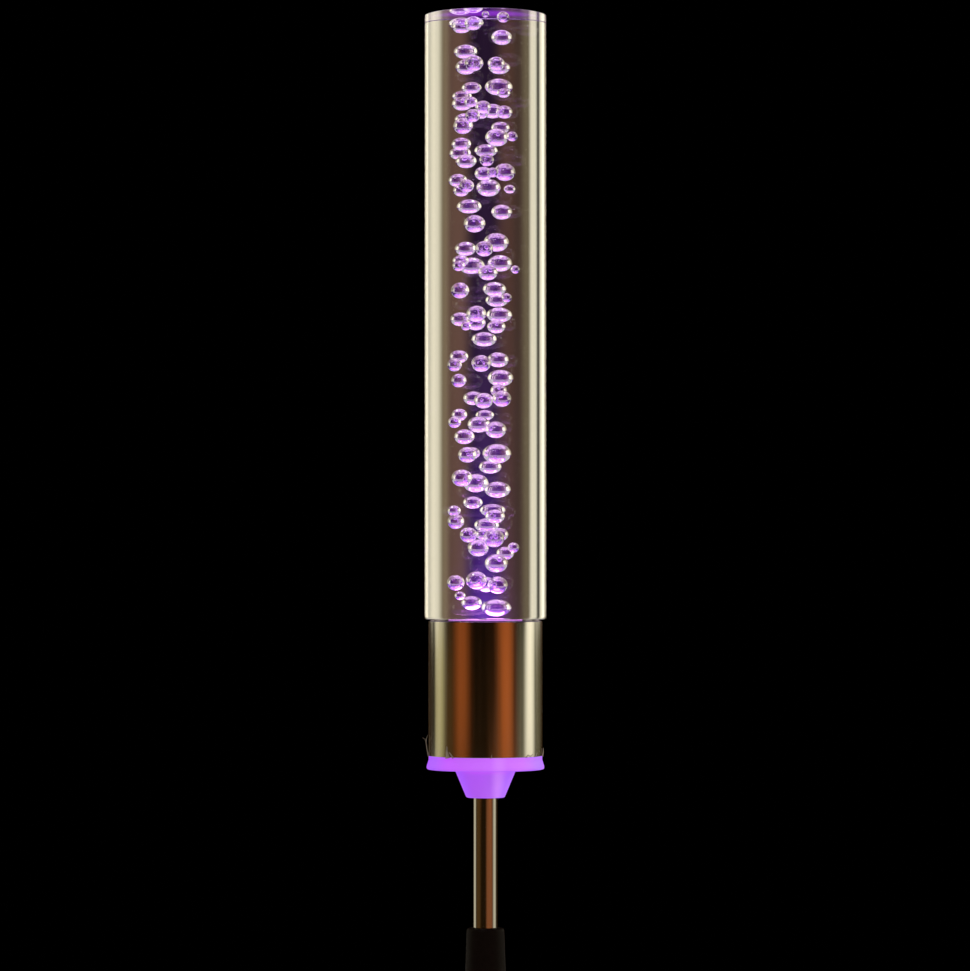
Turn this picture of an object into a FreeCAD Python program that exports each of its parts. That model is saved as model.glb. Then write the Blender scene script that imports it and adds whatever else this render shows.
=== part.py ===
import FreeCAD, Part

import math
import os

# A garden stake light: a clear rod full of bubbles, lit from below by a colour LED in a steel collar,
# on a slim pole that pushes into the socket of a ground spike. The power comes in by a cord.
# All sizes are in mm. Height 0 is the soil line, the axis is upright, and the cord leaves on the +Y side.

Vector = FreeCAD.Vector
UP = Vector(0, 0, 1)
BACK = Vector(0, 1, 0)

# Ground spike: a socket above a stop disc, and four tapering fins below it
SPIKE_DEPTH = 110.0
SOCKET_HEIGHT = 40.0
SOCKET_TOP_RADIUS = 4.65
SOCKET_DRAFT = 0.033            # radius gained for each mm down
SOCKET_RIM_ROUND = 0.7
DISC_RADIUS = 13.0
DISC_THICKNESS = 2.5
DISC_EDGE_BEVEL = 0.8
SOCKET_FOOT_BEVEL = 1.5
FIN_REACH = 11.0
FIN_THICKNESS = 2.2
FIN_POINT_LENGTH = 22.0         # the last stretch, which narrows faster
FIN_REACH_AT_POINT = 5.2
FIN_EDGE_THICKNESS = 1.0
FIN_THICK_REACH = 2.6           # from the axis, before a fin starts to thin
FIN_TIP_WIDTH = 1.4
GUSSET_COUNT = 4
GUSSET_HEIGHT = 11.0
GUSSET_THICKNESS = 1.6
GUSSET_INSET = 1.5              # from the disc's edge
GUSSET_ROOT = 1.0               # how deep a rib runs into the socket's wall

# Pole
POLE_DIAMETER = 6.0
POLE_WALL = 0.5
POLE_SHOWN = 32.0               # bare length between the socket and the cap
POLE_IN_SOCKET = 28.0
POLE_FIT = 0.05                 # radial play of the pole in its socket and in the cap
SOCKET_LEAD_IN = 0.5

# Cord inlet at the foot of the socket
CORD_HOLE_RADIUS = 1.6
CORD_HEIGHT = 7.5               # above the soil line
CHAMBER_RADIUS = 2.4
CHAMBER_FLOOR_THICKNESS = 1.5   # above the disc
GROMMET_NECK_RADIUS = 2.5
GROMMET_FLANGE_RADIUS = 3.5
GROMMET_FLANGE_THICKNESS = 1.0
GROMMET_FIT = 0.02
INLET_PAD_SIDE = 8.0
INLET_PAD_REACH = 7.2           # from the axis to the pad's face

# Base cap: flange, cone and the plug inside the collar
CAP_CONE_HEIGHT = 6.95
CAP_CONE_TOP_RADIUS = 7.6
CAP_CONE_FOOT_RADIUS = 4.7
CAP_FLANGE_THICKNESS = 3.3
CAP_FLANGE_RADIUS = 14.0
CAP_LIP_FLARE = 0.5             # how far the lower lip stands out past the flange
CAP_LIP_HEIGHT = 1.3
CAP_FLOOR_THICKNESS = 2.0
CAP_PLUG_HEIGHT = 8.0
CAP_PLUG_WALL = 1.5
CAP_PLUG_FIT = 0.1
CAP_EDGE_BEVEL = 0.35
CAP_POST_RADIUS = 5.2
ADHESIVE_HEIGHT = 1.6
ADHESIVE_WIDTH = 2.4
ADHESIVE_ANGLE = 24.0           # how far round each dab reaches, in degrees
ADHESIVE_DABS = 4

# Collar: a drawn steel cup, open downwards, with a light hole in its top
COLLAR_DIAMETER = 28.0
COLLAR_HEIGHT = 33.1
COLLAR_WALL = 0.6
COLLAR_TOP_BEVEL = 0.3
LIGHT_HOLE_RADIUS = 6.2
PART_FIT = 0.1                  # radial play of the parts inside the head

# Light window in the light hole, and the reflector tube between it and the board
WINDOW_SEAT = 0.8               # how far the window's edge rests on the tube's end
TUBE_WALL = 1.8

# LED board
BOARD_SIDE = 16.0
BOARD_THICKNESS = 1.2
BOARD_BELOW_PLATE = 11.55       # from the board's top to the underside of the collar's top plate
LEAD_HOLE_SIDE = 0.7

# LED, its leads and the resistor
LED_RADIUS = 2.5
LED_FLANGE_RADIUS = 2.9
LED_FLANGE_THICKNESS = 1.0
LED_HEIGHT = 8.6
LED_DOME_BANDS = 2
LEAD_PITCH = 2.54
LEAD_SIDE = 0.5
LEAD_BELOW_BOARD = 1.4
LEAD_IN_LENS = 4.2
SOLDER_REACH = 0.6              # from the middle of the joint to the middle of its sides
SOLDER_HEIGHT = 0.9
SOLDER_SIDES = 6
RESISTOR_LENGTH = 3.2
RESISTOR_WIDTH = 1.6
RESISTOR_HEIGHT = 0.6
RESISTOR_CAP_LENGTH = 0.5
RESISTOR_FROM_EDGE = 0.3        # from the board's edge

# Wires down the pole
WIRE_DIAMETER = 1.2
WIRE_SPACING = 1.6              # between the middles of the two wires
SPLICE_RADIUS = 1.9
SPLICE_LENGTH = 16.0
SPLICE_ABOVE_POLE_END = 2.0

# Bond ring between the collar and the rod
BOND_THICKNESS = 0.5
BOND_RADIUS = 13.6

# Bubble rod
ROD_DIAMETER = 30.0
ROD_LENGTH = 149.0
ROD_EDGE_BEVEL = 0.3
BUBBLE_CORE_RADIUS = 10.5       # no bubble reaches further from the axis
BUBBLE_SIDES = 6
BUBBLE_BANDS = 3
BUBBLE_LEAST_GAP = 0.12
BUBBLE_END_GAP = 0.3            # least wall between a bubble and either end of the rod
BUBBLE_DEPTH_STEP = 0.25
ACRYLIC_INDEX = 1.49            # how strongly the rod bends light
PATTERN_LENGTH = 149.3          # the rod length that the bubble heights below are given for
PATTERN_FOOT = 0.3              # and how far above the rod's foot they start
EYE_DISTANCE = 1000.0           # from the axis to where the bubbles below were read from
EYE_HEIGHT = 128.0              # and its height above the soil line

# The bubbles, from the top of the rod down, as the eye sees them from the front: height, place across,
# width and upright diameter. The rod's side widens what is inside it, so the places across and the widths
# are divided by the index, which leaves them true for a bubble on the axis.
BUBBLES = [
    (149.5, 0.0, 1.2, 1.6), (148.8, 2.9, 2.1, 2.7), (147.2, -2.0, 3.0, 3.4), (146.5, -3.9, 3.4, 3.4),
    (147.2, -4.1, 3.8, 2.9), (147.3, -2.0, 3.8, 2.9), (143.7, 2.7, 3.5, 3.7), (140.2, -3.3, 3.9, 3.5),
    (137.3, -1.9, 3.1, 3.9), (136.4, -3.2, 3.6, 3.8), (137.2, 1.8, 2.9, 3.4), (136.2, 2.3, 3.6, 3.2),
    (131.4, 2.2, 4.6, 4.2), (129.9, 3.0, 2.4, 2.3), (131.2, -2.3, 3.3, 2.9), (129.2, -3.9, 3.2, 2.6),
    (127.3, -3.8, 3.6, 3.4), (127.7, -2.4, 2.2, 2.6), (126.4, -0.4, 2.7, 3.2), (125.0, -0.7, 2.4, 3.0),
    (125.4, 1.2, 2.1, 3.6), (125.2, 3.1, 3.0, 3.2), (124.3, -2.1, 2.0, 3.2), (123.4, -3.5, 3.2, 3.0),
    (121.8, -3.7, 3.4, 4.0), (121.3, 2.5, 3.1, 3.0), (118.9, 1.9, 3.9, 4.4), (119.2, 4.4, 1.6, 2.4),
    (117.3, -4.0, 3.3, 3.2), (115.0, -4.2, 3.4, 3.2), (115.6, 0.1, 3.9, 3.2), (113.3, 0.2, 2.4, 3.1),
    (113.0, -3.2, 3.8, 3.4), (109.9, -0.3, 3.0, 3.4), (110.2, 1.2, 1.6, 2.4), (110.3, 3.2, 3.6, 4.3),
    (108.3, -4.6, 3.2, 3.2), (106.9, -3.1, 2.4, 3.2), (105.8, -4.0, 2.9, 3.0), (106.4, 0.5, 3.9, 4.3),
    (106.1, 4.0, 2.0, 2.1), (101.8, -2.7, 4.1, 3.5), (100.4, 2.7, 3.5, 3.7), (97.5, -1.8, 3.6, 4.3),
    (92.9, 1.8, 4.2, 4.6), (91.3, -0.2, 3.0, 3.8), (91.3, -3.3, 3.6, 3.5), (88.3, -4.1, 2.8, 2.9),
    (87.1, -4.4, 2.2, 2.6), (87.1, -2.3, 2.8, 4.1), (87.7, 2.4, 4.1, 4.1), (85.4, 0.4, 3.3, 3.8),
    (86.2, 4.9, 1.3, 2.0), (81.0, -4.2, 3.0, 3.9), (81.3, 1.5, 3.9, 3.6), (78.5, 1.9, 3.8, 3.2),
    (79.2, 3.5, 1.6, 2.2), (74.9, 2.3, 4.3, 3.7), (75.2, -1.5, 3.3, 4.0), (72.9, -1.6, 2.8, 3.6),
    (73.9, -4.2, 2.3, 3.4), (72.0, 1.8, 3.1, 3.3), (72.2, -3.2, 1.8, 2.2), (68.9, -0.2, 4.2, 3.6),
    (64.6, -4.4, 3.2, 3.2), (62.6, -5.1, 2.6, 3.2), (62.9, -0.7, 3.1, 4.1), (63.8, 2.1, 3.6, 3.7),
    (58.7, -4.4, 2.7, 3.3), (59.3, 2.5, 4.3, 4.1), (56.2, 2.2, 2.8, 3.2), (54.2, 2.7, 3.2, 4.0),
    (54.3, -2.0, 3.4, 3.4), (53.7, -0.3, 3.2, 3.8), (50.2, -4.3, 2.7, 3.0), (48.4, -5.1, 2.5, 2.8),
    (50.1, -0.1, 3.1, 2.6), (47.8, -1.1, 3.8, 4.0), (46.5, 1.7, 3.7, 4.1), (44.8, -3.5, 3.5, 3.7),
    (40.3, -3.0, 3.2, 3.8), (40.7, -2.3, 2.9, 3.0), (40.6, 1.9, 4.8, 4.8), (37.3, 0.8, 3.8, 3.3),
    (34.6, -3.9, 3.6, 4.2), (33.3, -1.6, 3.6, 4.5), (31.7, 2.0, 4.4, 4.0), (28.5, -2.1, 3.3, 3.0),
    (26.5, -5.2, 2.4, 2.6), (26.6, 1.2, 4.3, 3.2), (25.1, 1.6, 3.3, 3.4), (23.8, -4.9, 2.8, 3.6),
    (22.9, 0.2, 4.2, 3.4), (20.5, -2.8, 2.6, 3.7), (20.6, -0.4, 2.4, 2.6), (19.7, 1.4, 3.0, 4.4),
    (20.6, 2.4, 2.8, 3.2), (17.3, -1.2, 3.2, 4.2), (17.4, 4.6, 1.9, 2.5), (16.0, 3.3, 3.0, 3.2),
    (13.5, 1.8, 4.2, 4.5), (8.7, -4.9, 3.2, 3.8), (9.3, -1.5, 3.2, 4.4), (8.3, 0.1, 2.6, 3.8),
    (8.1, 2.0, 3.6, 4.2), (5.5, -4.2, 1.9, 2.1), (3.7, -2.3, 3.5, 3.5), (2.5, 1.8, 5.0, 4.2),
]

# Heights that the pieces share
socket_top = SOCKET_HEIGHT
pole_foot = socket_top - POLE_IN_SOCKET
cap_foot = socket_top + POLE_SHOWN
flange_foot = cap_foot + CAP_CONE_HEIGHT
collar_foot = flange_foot + CAP_FLANGE_THICKNESS
collar_top = collar_foot + COLLAR_HEIGHT
plate_underside = collar_top - COLLAR_WALL
rod_foot = collar_top + BOND_THICKNESS
board_top = plate_underside - BOARD_BELOW_PLATE
board_foot = board_top - BOARD_THICKNESS
cap_floor_top = flange_foot + CAP_FLOOR_THICKNESS
plug_top = collar_foot + CAP_PLUG_HEIGHT
splice_foot = pole_foot + SPLICE_ABOVE_POLE_END
splice_top = splice_foot + SPLICE_LENGTH

# Radii that the pieces share
pole_radius = POLE_DIAMETER / 2
pole_bore_radius = pole_radius + POLE_FIT
collar_radius = COLLAR_DIAMETER / 2
collar_bore = collar_radius - COLLAR_WALL
rod_radius = ROD_DIAMETER / 2


def at_height(z):
    return Vector(0, 0, z)


def disc(radius, foot, top):
    return Part.makeCylinder(radius, top - foot, at_height(foot), UP)


def turned(outline, degrees=360):
    """A solid turned about the upright axis from its closed (radius, height) outline."""
    corners = [Vector(radius, 0, height) for radius, height in outline]
    face = Part.Face(Part.makePolygon(corners + corners[:1]))
    return face.revolve(at_height(0), UP, degrees)


def bevelled(radius, height, out, up, size):
    """An outline's bevelled corner. The corner's two sides leave it along the radius and upright, and
    out and up are 1 or -1, the way each side goes as it leaves the corner."""
    return [(radius + out * size, height), (radius, height + up * size)]


def rounded(radius, height, out, up, size):
    """The same corner, rounded in two narrow bands."""
    middle = size * (1 - math.sqrt(0.5))
    flat, upright = bevelled(radius, height, out, up, size)
    return [flat, (radius + out * middle, height + up * middle), upright]


def round_the_axis(shape, count, start=0):
    """Copies of the shape, evenly spaced round the upright axis from the start angle."""
    copies = []
    for number in range(count):
        copy = shape.copy()
        copy.rotate(at_height(0), UP, start + 360 / count * number)
        copies.append(copy)
    return copies


def upright_prism(outline, thickness):
    """A plate of the given thickness, standing on the XZ plane, with its (x, z) outline."""
    points = [Vector(x, -thickness / 2, z) for x, z in outline]
    face = Part.Face(Part.makePolygon(points + points[:1]))
    return face.extrude(Vector(0, thickness, 0))


def socket_radius(z):
    return SOCKET_TOP_RADIUS + SOCKET_DRAFT * (socket_top - z)


def spike_fins():
    """Four fins, thick at the middle and thin at their edges, that narrow to a blunt point."""
    point_start = -SPIKE_DEPTH + FIN_POINT_LENGTH
    tip = FIN_TIP_WIDTH / 2
    plate = upright_prism([
        (-FIN_REACH, 0), (FIN_REACH, 0), (FIN_REACH_AT_POINT, point_start), (tip, -SPIKE_DEPTH),
        (-tip, -SPIKE_DEPTH), (-FIN_REACH_AT_POINT, point_start),
    ], FIN_THICKNESS)
    half = FIN_THICKNESS / 2
    edge = FIN_EDGE_THICKNESS / 2
    quarter = [(FIN_REACH, edge), (FIN_THICK_REACH, half), (-FIN_THICK_REACH, half), (-FIN_REACH, edge)]
    outline = [Vector(x, y, 0) for x, y in quarter + [(-x, -y) for x, y in quarter]]
    section = Part.Face(Part.makePolygon(outline + outline[:1]))
    fin = plate.common(section.extrude(at_height(-SPIKE_DEPTH)))
    crossing = fin.copy()
    crossing.rotate(at_height(0), UP, 90)
    return [fin, crossing]


def spike_gussets():
    """Thin ribs between the stop disc and the socket, set between the fins."""
    foot = DISC_THICKNESS / 2
    top = DISC_THICKNESS + GUSSET_HEIGHT
    reach = DISC_RADIUS - GUSSET_INSET
    inside = socket_radius(top) - GUSSET_ROOT
    rib = upright_prism([
        (inside, foot), (reach, foot), (reach, DISC_THICKNESS), (socket_radius(top), top), (inside, top),
    ], GUSSET_THICKNESS)
    return round_the_axis(rib, GUSSET_COUNT, 180 / GUSSET_COUNT)


def ground_spike():
    disc_top = DISC_THICKNESS
    edge = DISC_EDGE_BEVEL
    body = turned(
        [(0, 0)] + bevelled(DISC_RADIUS, 0, -1, 1, edge) + bevelled(DISC_RADIUS, disc_top, -1, -1, edge)[::-1]
        + bevelled(socket_radius(disc_top), disc_top, 1, 1, SOCKET_FOOT_BEVEL)
        + rounded(SOCKET_TOP_RADIUS, socket_top, -1, -1, SOCKET_RIM_ROUND)[::-1] + [(0, socket_top)]
    )
    pad = Part.makeBox(INLET_PAD_SIDE, INLET_PAD_REACH, INLET_PAD_SIDE + disc_top,
                       Vector(-INLET_PAD_SIDE / 2, 0, CORD_HEIGHT - INLET_PAD_SIDE / 2 - disc_top))
    body = body.fuse([pad] + spike_fins() + spike_gussets())
    chamber_floor = disc_top + CHAMBER_FLOOR_THICKNESS
    bore = turned([
        (0, chamber_floor), (CHAMBER_RADIUS, chamber_floor), (CHAMBER_RADIUS, pole_foot),
        (pole_bore_radius, pole_foot), (pole_bore_radius, socket_top - SOCKET_LEAD_IN),
        (pole_bore_radius + SOCKET_LEAD_IN, socket_top), (0, socket_top),
    ])
    outlet = Part.makeCylinder(GROMMET_NECK_RADIUS, INLET_PAD_REACH, at_height(CORD_HEIGHT), BACK)
    return body.cut([bore, outlet]).removeSplitter()


def cable_grommet():
    """A flanged rubber sleeve in the outlet, with the cord's hole through it."""
    neck_start = CHAMBER_RADIUS + GROMMET_FIT
    face = INLET_PAD_REACH
    neck = Part.makeCylinder(GROMMET_NECK_RADIUS - GROMMET_FIT, face - neck_start,
                             Vector(0, neck_start, CORD_HEIGHT), BACK)
    flange = Part.makeCylinder(GROMMET_FLANGE_RADIUS, GROMMET_FLANGE_THICKNESS,
                               Vector(0, face, CORD_HEIGHT), BACK)
    hole = Part.makeCylinder(CORD_HOLE_RADIUS, face + GROMMET_FLANGE_THICKNESS, at_height(CORD_HEIGHT), BACK)
    return neck.fuse(flange).cut(hole).removeSplitter()


def pole():
    inner = pole_radius - POLE_WALL
    return disc(pole_radius, pole_foot, board_foot).cut(disc(inner, pole_foot, board_foot))


def base_cap():
    """The moulded cap: cone, lipped flange, plug wall, and the post that holds the pole and carries the
    board."""
    lip = CAP_FLANGE_RADIUS + CAP_LIP_FLARE
    plug_outer = collar_bore - CAP_PLUG_FIT
    plug_inner = plug_outer - CAP_PLUG_WALL
    return turned(
        [(pole_bore_radius, cap_foot)] + bevelled(CAP_CONE_FOOT_RADIUS, cap_foot, -1, 1, CAP_EDGE_BEVEL)
        + [(CAP_CONE_TOP_RADIUS, flange_foot)] + bevelled(lip, flange_foot, -1, 1, CAP_EDGE_BEVEL) + [
            (CAP_FLANGE_RADIUS, flange_foot + CAP_LIP_HEIGHT), (CAP_FLANGE_RADIUS, collar_foot),
            (plug_outer, collar_foot), (plug_outer, plug_top), (plug_inner, plug_top),
            (plug_inner, cap_floor_top), (CAP_POST_RADIUS, cap_floor_top), (CAP_POST_RADIUS, board_foot),
            (pole_bore_radius, board_foot),
        ]
    )


def cap_adhesive():
    """Dabs of adhesive on the plug's top, against the collar's wall."""
    dab = turned([(collar_bore - ADHESIVE_WIDTH, plug_top), (collar_bore, plug_top),
                  (collar_bore, plug_top + ADHESIVE_HEIGHT)], ADHESIVE_ANGLE)
    return Part.makeCompound(round_the_axis(dab, ADHESIVE_DABS))


def collar():
    return turned(
        [(collar_bore, collar_foot), (collar_radius, collar_foot)]
        + bevelled(collar_radius, collar_top, -1, -1, COLLAR_TOP_BEVEL)[::-1] + [
            (LIGHT_HOLE_RADIUS, collar_top), (LIGHT_HOLE_RADIUS, plate_underside),
            (collar_bore, plate_underside),
        ]
    )


def light_window():
    """A disc of diffusing plastic that fills the collar's hole up to the rod's foot."""
    return disc(LIGHT_HOLE_RADIUS - PART_FIT, plate_underside, rod_foot)


def reflector_tube():
    """A white tube round the LED, from the board up to the window and the collar's top plate."""
    bore = LIGHT_HOLE_RADIUS - WINDOW_SEAT
    return disc(bore + TUBE_WALL, board_top, plate_underside).cut(disc(bore, board_top, plate_underside))


def square_pin(centre, side, foot, top):
    return Part.makeBox(side, side, top - foot, Vector(centre[0] - side / 2, centre[1] - side / 2, foot))


def lead_places():
    return [(-LEAD_PITCH / 2, 0), (LEAD_PITCH / 2, 0)]


def wire_places():
    return [(0, -WIRE_SPACING / 2), (0, WIRE_SPACING / 2)]


def led_board():
    board = square_pin((0, 0), BOARD_SIDE, board_foot, board_top)
    return board.cut([square_pin(place, LEAD_HOLE_SIDE, board_foot, board_top) for place in lead_places()])


def led_leads():
    return Part.makeCompound([
        square_pin(place, LEAD_SIDE, board_foot - LEAD_BELOW_BOARD, board_top + LEAD_IN_LENS)
        for place in lead_places()
    ])


def led_lens():
    """The LED's domed body, moulded round the upper ends of its leads."""
    dome_foot = board_top + LED_HEIGHT - LED_RADIUS
    dome = []
    for band in range(LED_DOME_BANDS):
        tilt = math.pi / 2 * band / LED_DOME_BANDS
        dome.append((LED_RADIUS * math.cos(tilt), dome_foot + LED_RADIUS * math.sin(tilt)))
    flange_top = board_top + LED_FLANGE_THICKNESS
    body = turned(
        [(0, board_top), (LED_FLANGE_RADIUS, board_top), (LED_FLANGE_RADIUS, flange_top),
         (LED_RADIUS, flange_top)] + dome + [(0, board_top + LED_HEIGHT)]
    )
    return body.cut([square_pin(place, LEAD_SIDE, board_top, board_top + LEAD_IN_LENS)
                     for place in lead_places()])


def ring_of_points(centre, radius, sides):
    return [centre + Vector(radius * math.cos(2 * math.pi * side / sides),
                            radius * math.sin(2 * math.pi * side / sides), 0) for side in range(sides)]


def solder_joints():
    """A small faceted cone of solder round each lead, under the board."""
    joints = []
    for x, y in lead_places():
        base = ring_of_points(Vector(x, y, board_foot), SOLDER_REACH, SOLDER_SIDES)
        tip = ring_of_points(Vector(x, y, board_foot - SOLDER_HEIGHT), SOLDER_REACH * 0.7, SOLDER_SIDES)
        cone = faceted_solid([tip, base], None, None)
        joints.append(cone.cut(square_pin((x, y), LEAD_SIDE, board_foot - SOLDER_HEIGHT, board_foot)))
    return Part.makeCompound(joints)


def resistor():
    """A chip resistor under the board, beside the post: a body between two metal ends."""
    x = BOARD_SIDE / 2 - RESISTOR_FROM_EDGE - RESISTOR_WIDTH
    y = -RESISTOR_LENGTH / 2
    z = board_foot - RESISTOR_HEIGHT
    end = RESISTOR_CAP_LENGTH
    thinner = RESISTOR_HEIGHT * 0.2
    near = Part.makeBox(RESISTOR_WIDTH, end, RESISTOR_HEIGHT, Vector(x, y, z))
    middle = Part.makeBox(RESISTOR_WIDTH, RESISTOR_LENGTH - 2 * end, RESISTOR_HEIGHT - thinner,
                          Vector(x, y + end, z + thinner))
    far = Part.makeBox(RESISTOR_WIDTH, end, RESISTOR_HEIGHT, Vector(x, y + RESISTOR_LENGTH - end, z))
    return near.fuse([middle, far]).removeSplitter()


def wire(place):
    """One insulated wire, straight down the pole from the board to the splice."""
    return Part.makeCylinder(WIRE_DIAMETER / 2, board_foot - splice_top, Vector(*place, splice_top), UP)


def wire_splice():
    """A closed shrink sleeve at the pole's foot, where the wires are joined to the cord."""
    return disc(SPLICE_RADIUS, splice_foot, splice_top)


def bond_ring():
    return disc(BOND_RADIUS, collar_top, rod_foot).cut(disc(LIGHT_HOLE_RADIUS, collar_top, rod_foot))


def behind_the_side(seen, depth):
    """The true place across of what is seen at that offset from the axis, through the rod's curved side,
    and lies that far behind the axis."""
    outside = math.asin(seen / rod_radius)
    turn = outside - math.asin(seen / rod_radius / ACRYLIC_INDEX)
    return seen - (rod_radius * math.cos(outside) + depth) * math.tan(turn)


def placed_bubbles():
    """Centre and radius of each bubble. The rod's side widens a bubble more the further back it lies, so
    its width gives its depth. Each gets the nearest depth that keeps it clear of those placed before."""
    placed = []
    tries = int(2 * BUBBLE_CORE_RADIUS / BUBBLE_DEPTH_STEP)
    for height, across, width, diameter in BUBBLES:
        radius = diameter / 2
        lowest = rod_foot + radius + BUBBLE_END_GAP
        highest = rod_foot + ROD_LENGTH - radius - BUBBLE_END_GAP
        seen_height = rod_foot + PATTERN_FOOT + height * ROD_LENGTH / PATTERN_LENGTH
        wanted = rod_radius / (ACRYLIC_INDEX - 1) * (1 - diameter / width)
        best = None
        for number in range(2 * tries):
            depth = wanted + BUBBLE_DEPTH_STEP * ((number + 1) // 2) * (-1) ** number
            x = behind_the_side(across * ACRYLIC_INDEX, depth)
            if math.hypot(x, depth) > BUBBLE_CORE_RADIUS - radius:
                continue
            away = EYE_DISTANCE - rod_radius + (rod_radius + depth) / ACRYLIC_INDEX
            z = EYE_HEIGHT + (seen_height - EYE_HEIGHT) * away / EYE_DISTANCE
            centre = Vector(x, depth, min(max(z, lowest), highest))
            least = min([centre.distanceToPoint(other) - radius - size for other, size in placed],
                        default=BUBBLE_LEAST_GAP)
            if best is None or least > best[0]:
                best = (least, centre)
            if least >= BUBBLE_LEAST_GAP:
                break
        placed.append((best[1], radius))
    return placed


def faceted_solid(rings, bottom, top):
    """A closed solid with flat facets between rings of points, from the lowest ring up. It ends in the
    bottom and top points, or in flat ends where these are None."""
    sides = len(rings[0])
    faces = [rings[0][::-1]] if bottom is None else []
    faces += [rings[-1]] if top is None else []
    for side in range(sides):
        following = (side + 1) % sides
        for lower, upper in zip(rings, rings[1:]):
            faces.append([lower[side], lower[following], upper[following], upper[side]])
        if bottom is not None:
            faces.append([bottom, rings[0][following], rings[0][side]])
        if top is not None:
            faces.append([top, rings[-1][side], rings[-1][following]])
    return Part.Solid(Part.Shell([Part.Face(Part.makePolygon(corners + corners[:1])) for corners in faces]))


def bubble(centre, radius):
    """A round void with flat facets, whose corners lie on the bubble's sphere."""
    rings = []
    for band in range(1, BUBBLE_BANDS):
        tilt = math.pi * band / BUBBLE_BANDS
        level = centre - UP * radius * math.cos(tilt)
        rings.append(ring_of_points(level, radius * math.sin(tilt), BUBBLE_SIDES))
    return faceted_solid(rings, centre - UP * radius, centre + UP * radius)


def bubble_rod():
    bevel = ROD_EDGE_BEVEL
    top = rod_foot + ROD_LENGTH
    blank = turned([
        (0, rod_foot), (rod_radius - bevel, rod_foot), (rod_radius, rod_foot + bevel),
        (rod_radius, top - bevel), (rod_radius - bevel, top), (0, top),
    ])
    voids = [bubble(centre, radius) for centre, radius in placed_bubbles()]
    return blank.cut(Part.makeCompound(voids))


PIECES = {
    "ground_spike": ground_spike,
    "cable_grommet": cable_grommet,
    "pole": pole,
    "base_cap": base_cap,
    "cap_adhesive": cap_adhesive,
    "collar": collar,
    "light_window": light_window,
    "reflector_tube": reflector_tube,
    "led_board": led_board,
    "led_lens": led_lens,
    "led_leads": led_leads,
    "solder_joints": solder_joints,
    "resistor": resistor,
    "wire_red": lambda: wire(wire_places()[0]),
    "wire_black": lambda: wire(wire_places()[1]),
    "wire_splice": wire_splice,
    "bond_ring": bond_ring,
    "bubble_rod": bubble_rod,
}

os.makedirs("parts", exist_ok=True)
for name, make in PIECES.items():
    shape = make()
    shape.exportStep(f"parts/{name}.step")
    box = shape.BoundBox
    print(f"{name}: {len(shape.Solids)} solid, valid {shape.isValid()}, {shape.Volume:.1f} mm3, "
          f"height {box.ZMin:.2f} to {box.ZMax:.2f}")
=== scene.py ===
import math

import bmesh
import bpy
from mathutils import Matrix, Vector

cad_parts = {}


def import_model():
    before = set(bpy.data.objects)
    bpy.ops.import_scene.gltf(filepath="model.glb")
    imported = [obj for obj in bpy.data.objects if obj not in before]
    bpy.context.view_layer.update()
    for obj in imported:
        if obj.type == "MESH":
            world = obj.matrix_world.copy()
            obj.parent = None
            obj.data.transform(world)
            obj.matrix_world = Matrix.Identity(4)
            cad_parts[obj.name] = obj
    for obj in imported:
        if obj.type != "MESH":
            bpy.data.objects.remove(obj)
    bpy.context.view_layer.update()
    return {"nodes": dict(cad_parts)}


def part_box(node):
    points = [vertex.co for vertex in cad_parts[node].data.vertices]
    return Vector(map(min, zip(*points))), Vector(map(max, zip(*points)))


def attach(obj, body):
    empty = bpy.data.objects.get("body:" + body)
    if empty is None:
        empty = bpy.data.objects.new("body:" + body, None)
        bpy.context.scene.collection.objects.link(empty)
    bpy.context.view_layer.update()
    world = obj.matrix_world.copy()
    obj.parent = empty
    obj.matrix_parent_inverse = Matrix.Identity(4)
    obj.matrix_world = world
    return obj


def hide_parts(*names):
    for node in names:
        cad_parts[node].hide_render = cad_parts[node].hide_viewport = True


# A bubble stake light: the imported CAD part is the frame, and what needs a finer look is built round it.
# Everything is in metres. +Z is up the pole, and the photograph was taken from -Y.
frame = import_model()
nodes = frame["nodes"]

MM = 0.001
LIGHT = "light"
SPIKE = "spike"

# The photograph's view
CAMERA_DISTANCE = 1.0
CAMERA_HEIGHT = 0.128
CAMERA_ACROSS = -0.00011
CAMERA_TARGET_HEIGHT = 0.1488
LENS_MM = 150.4
SENSOR_MM = 36.0

FLOOR_RADIUS = 1.05
FLOOR_STEPS = 96

# Colours, as linear light
CREAM = (1.0, 0.93, 0.70)
STRAW = (1.0, 0.88, 0.40)
AMBER = (1.0, 0.24, 0.05)
RUST = (1.0, 0.33, 0.12)
UMBER = (1.0, 0.57, 0.42)
LILAC = (0.64, 0.23, 1.0)
ROSE = (0.90, 0.54, 0.78)
PLUM = (0.36, 0.04, 1.0)
BROWN = (1.0, 0.50, 0.14)
OLIVE = (1.0, 0.92, 0.50)
STEEL_DARK = (0.58, 0.56, 0.52)
STEEL_PALE = (0.68, 0.66, 0.62)
FLOOR_DARK = (0.74, 0.74, 0.73)
FLOOR_PALE = (0.79, 0.79, 0.78)

# The LED's light as each thing throws it on
FAR_LIGHT = (0.75, 0.33, 1.0)           # the rod's side
FOOT_LIGHT = (0.34, 0.10, 1.0)          # the same near its foot
TOP_LIGHT = (0.40, 0.03, 1.0)
BOND_LIGHT = (0.42, 0.12, 1.0)
WINDOW_LIGHT = (0.88, 0.32, 1.0)
CONE_LIGHT = (0.36, 0.0, 0.86)
# This colour and the flange's second one paint a highlight on the cap's front
CONE_PAINTED_HIGHLIGHT = (0.52, 0.10, 0.97)
FLANGE_LIGHT = (0.50, 0.005, 1.0)
FLANGE_PAINTED_HIGHLIGHT = (0.56, 0.06, 1.0)
CAP_SIDE_LIGHT = (0.34, 0.0, 1.0)       # where the cap turns away

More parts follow.
